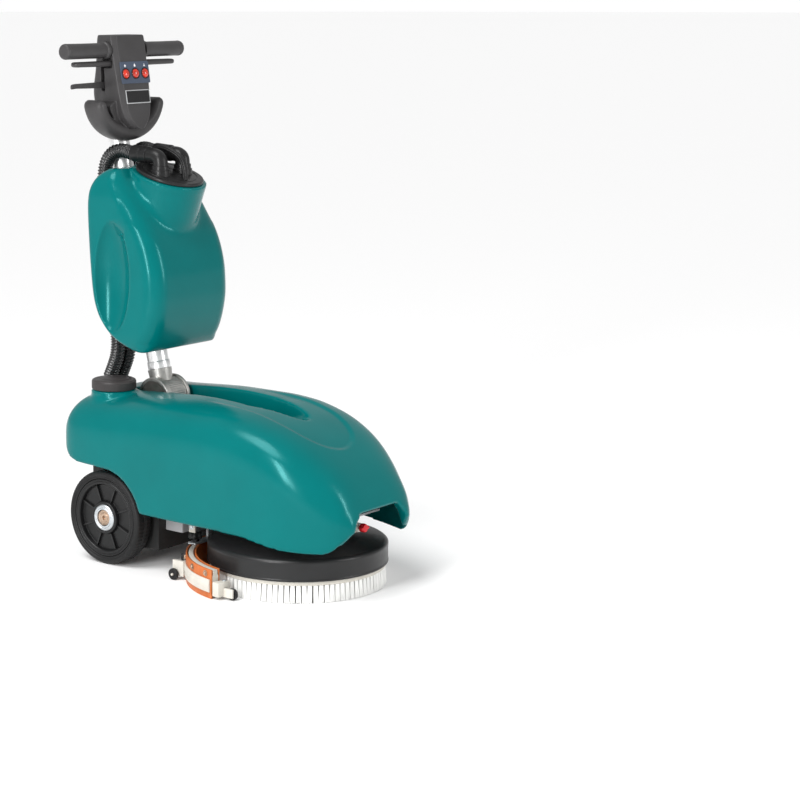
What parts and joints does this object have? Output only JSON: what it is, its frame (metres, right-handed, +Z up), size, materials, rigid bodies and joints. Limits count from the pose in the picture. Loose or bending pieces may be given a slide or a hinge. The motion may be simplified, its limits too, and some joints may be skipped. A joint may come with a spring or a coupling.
{
  "type": "floor scrubber machine",
  "caption": "Compact walk-behind floor scrubber with disc brush, curved squeegee, low solution tank, tilting column, recovery tank with hoses and a control head.",
  "frame": {"origin": "on the floor, under the centre of the machine's plan box", "axes": "+Z up, -Y towards the nose and brush, +X to the right of someone facing the nose, X = 0 the plane of symmetry"},
  "size_m": [0.4602, 0.7471, 1.108],
  "materials": {
    "teal_plastic": "gloss rotomoulded polyethylene",
    "black_plastic": "satin moulded",
    "dark_grey_plastic": "fine grain moulded",
    "tyre_rubber": "matt",
    "white_bristle": "nylon tufts",
    "gum_rubber": "satin gum rubber",
    "ivory_plastic": "satin",
    "cast_alloy": "cast, lightly polished",
    "silver_tube": "satin anodised",
    "zinc_steel": "zinc plated",
    "bronze_bolt": "passivated plating",
    "black_steel": "powder coated",
    "grey_paint": "painted",
    "blue_grey_panel": "satin overlay",
    "red_plastic": "gloss lens",
    "black_hose": "corrugated, satin",
    "motor_grey": "moulded housing",
    "battery_case": "satin case"
  },
  "bodies": {
    "base": {"solution_tank_body": "teal_plastic", "battery_tray": "black_steel", "battery_pack": "battery_case", "vacuum_motor": "motor_grey", "brush_gear_motor": "motor_grey", "motor_plate": "grey_paint", "brush_deck": "black_plastic", "hinge_base": "cast_alloy", "hinge_pin": "zinc_steel", "squeegee_bracket": "grey_paint", "flow_valve": "ivory_plastic", "axle_stub_near": "bronze_bolt", "axle_stub_far": "bronze_bolt"},
    "filler_cap": {"filler_cap": "dark_grey_plastic"},
    "flow_valve_knob": {"flow_valve_knob": "red_plastic"},
    "brush": {"brush_plate": "ivory_plastic", "brush_bristles": "white_bristle"},
    "wheel_near": {"tyre_near": "tyre_rubber", "wheel_rim_near": "black_plastic", "wheel_bearing_near": "zinc_steel"},
    "wheel_far": {"tyre_far": "tyre_rubber", "wheel_rim_far": "black_plastic", "wheel_bearing_far": "zinc_steel"},
    "squeegee": {"squeegee_housing": "ivory_plastic", "squeegee_blade_front": "gum_rubber", "squeegee_blade_rear": "gum_rubber", "squeegee_strap": "ivory_plastic", "squeegee_yoke": "zinc_steel", "squeegee_knob_near": "black_plastic", "squeegee_knob_far": "black_plastic"},
    "front_roller_near": {"front_roller_near": "tyre_rubber"},
    "front_roller_far": {"front_roller_far": "tyre_rubber"},
    "rear_roller_near": {"rear_roller_near": "tyre_rubber"},
    "rear_roller_far": {"rear_roller_far": "tyre_rubber"},
    "column": {"column_tube": "silver_tube", "column_knuckle": "cast_alloy", "head_shell": "dark_grey_plastic", "head_guard": "dark_grey_plastic", "switch_panel": "blue_grey_panel", "label_plate": "black_plastic", "handlebar": "zinc_steel", "grip_near": "dark_grey_plastic", "grip_far": "dark_grey_plastic", "hose_lower_near": "black_hose", "hose_lower_far": "black_hose"},
    "switch_1": {"switch_1": "red_plastic"},
    "switch_2": {"switch_2": "red_plastic"},
    "switch_3": {"switch_3": "red_plastic"},
    "trigger_near": {"trigger_near": "dark_grey_plastic"},
    "trigger_far": {"trigger_far": "dark_grey_plastic"},
    "lift_lever": {"lift_lever": "dark_grey_plastic"},
    "recovery_tank": {"recovery_tank": "teal_plastic", "hose_middle_near": "black_hose", "hose_middle_far": "black_hose"},
    "tank_lid": {"tank_lid": "black_plastic", "hose_elbow_near": "black_plastic", "hose_elbow_far": "black_plastic", "lid_handle": "black_plastic", "hose_upper_near": "black_hose", "hose_upper_far": "black_hose"}
  },
  "joints": [
    {"name": "wheel_near_spin", "type": "hinge", "parent": "base", "child": "wheel_near", "pos_m": [-0.1465, 0.235, 0.1], "axis": [1, 0, 0], "continuous": true},
    {"name": "wheel_far_spin", "type": "hinge", "parent": "base", "child": "wheel_far", "pos_m": [0.1465, 0.235, 0.1], "axis": [1, 0, 0], "continuous": true},
    {"name": "brush_spin", "type": "hinge", "parent": "base", "child": "brush", "pos_m": [0, -0.155, 0.05], "axis": [0, 0, 1], "continuous": true},
    {"name": "filler_cap_lift", "type": "slide", "parent": "base", "child": "filler_cap", "axis": [0, 0, 1], "range_m": [0, 0.035]},
    {"name": "flow_valve_turn", "type": "hinge", "parent": "base", "child": "flow_valve_knob", "pos_m": [0, -0.3165, 0.136], "axis": [0, 1, 0], "range_deg": [0, 90]},
    {"name": "squeegee_lift", "type": "slide", "parent": "base", "child": "squeegee", "axis": [0, 0, 1], "range_m": [0, 0.03]},
    {"name": "front_roller_near_spin", "type": "hinge", "parent": "squeegee", "child": "front_roller_near", "pos_m": [-0.2045, -0.151, 0.012], "axis": [1, 0, 0], "continuous": true},
    {"name": "rear_roller_near_spin", "type": "hinge", "parent": "squeegee", "child": "rear_roller_near", "pos_m": [-0.166, 0.04, 0.012], "axis": [1, 0, 0], "continuous": true},
    {"name": "front_roller_far_spin", "type": "hinge", "parent": "squeegee", "child": "front_roller_far", "pos_m": [0.2045, -0.151, 0.012], "axis": [1, 0, 0], "continuous": true},
    {"name": "rear_roller_far_spin", "type": "hinge", "parent": "squeegee", "child": "rear_roller_far", "pos_m": [0.166, 0.04, 0.012], "axis": [1, 0, 0], "continuous": true},
    {"name": "column_tilt", "type": "hinge", "parent": "base", "child": "column", "pos_m": [0, 0.21, 0.341], "axis": [1, 0, 0], "range_deg": [-20, 45], "deforming": ["hose_lower_near", "hose_lower_far"]},
    {"name": "switch_1_press", "type": "slide", "parent": "column", "child": "switch_1", "axis": [0, 0.9866, -0.1633], "range_m": [0, 0.0015], "stiffness_N_per_m": 400},
    {"name": "switch_2_press", "type": "slide", "parent": "column", "child": "switch_2", "axis": [0, 0.9866, -0.1633], "range_m": [0, 0.0015], "stiffness_N_per_m": 400},
    {"name": "switch_3_press", "type": "slide", "parent": "column", "child": "switch_3", "axis": [0, 0.9866, -0.1633], "range_m": [0, 0.0015], "stiffness_N_per_m": 400},
    {"name": "trigger_near_squeeze", "type": "hinge", "parent": "column", "child": "trigger_near", "pos_m": [-0.05, 0.3215, 1.0495], "axis": [0, 1, 0], "range_deg": [0, 2.5], "stiffness_Nm_per_rad": 6, "springref_deg": -2.86},
    {"name": "trigger_far_squeeze", "type": "hinge", "parent": "column", "child": "trigger_far", "pos_m": [0.05, 0.3215, 1.0495], "axis": [0, -1, 0], "range_deg": [0, 2.5], "stiffness_Nm_per_rad": 6, "springref_deg": -2.86},
    {"name": "lift_lever_swing", "type": "hinge", "parent": "column", "child": "lift_lever", "pos_m": [0.02, 0.337, 1.003], "axis": [0, 1, 0], "range_deg": [0, 14.1]},
    {"name": "tank_lift", "type": "slide", "parent": "column", "child": "recovery_tank", "axis": [0, -0.7, 0.7141], "range_m": [0, 0.12], "deforming": ["hose_middle_near", "hose_middle_far"]},
    {"name": "lid_lift", "type": "slide", "parent": "recovery_tank", "child": "tank_lid", "axis": [0, -0.2924, 0.9563], "range_m": [0, 0.05], "deforming": ["hose_upper_near", "hose_upper_far"]}
  ],
  "couplings": [
    {"joint": "lift_lever_swing", "follows": "squeegee_lift", "rad_per_m": 8.1449}
  ]
}
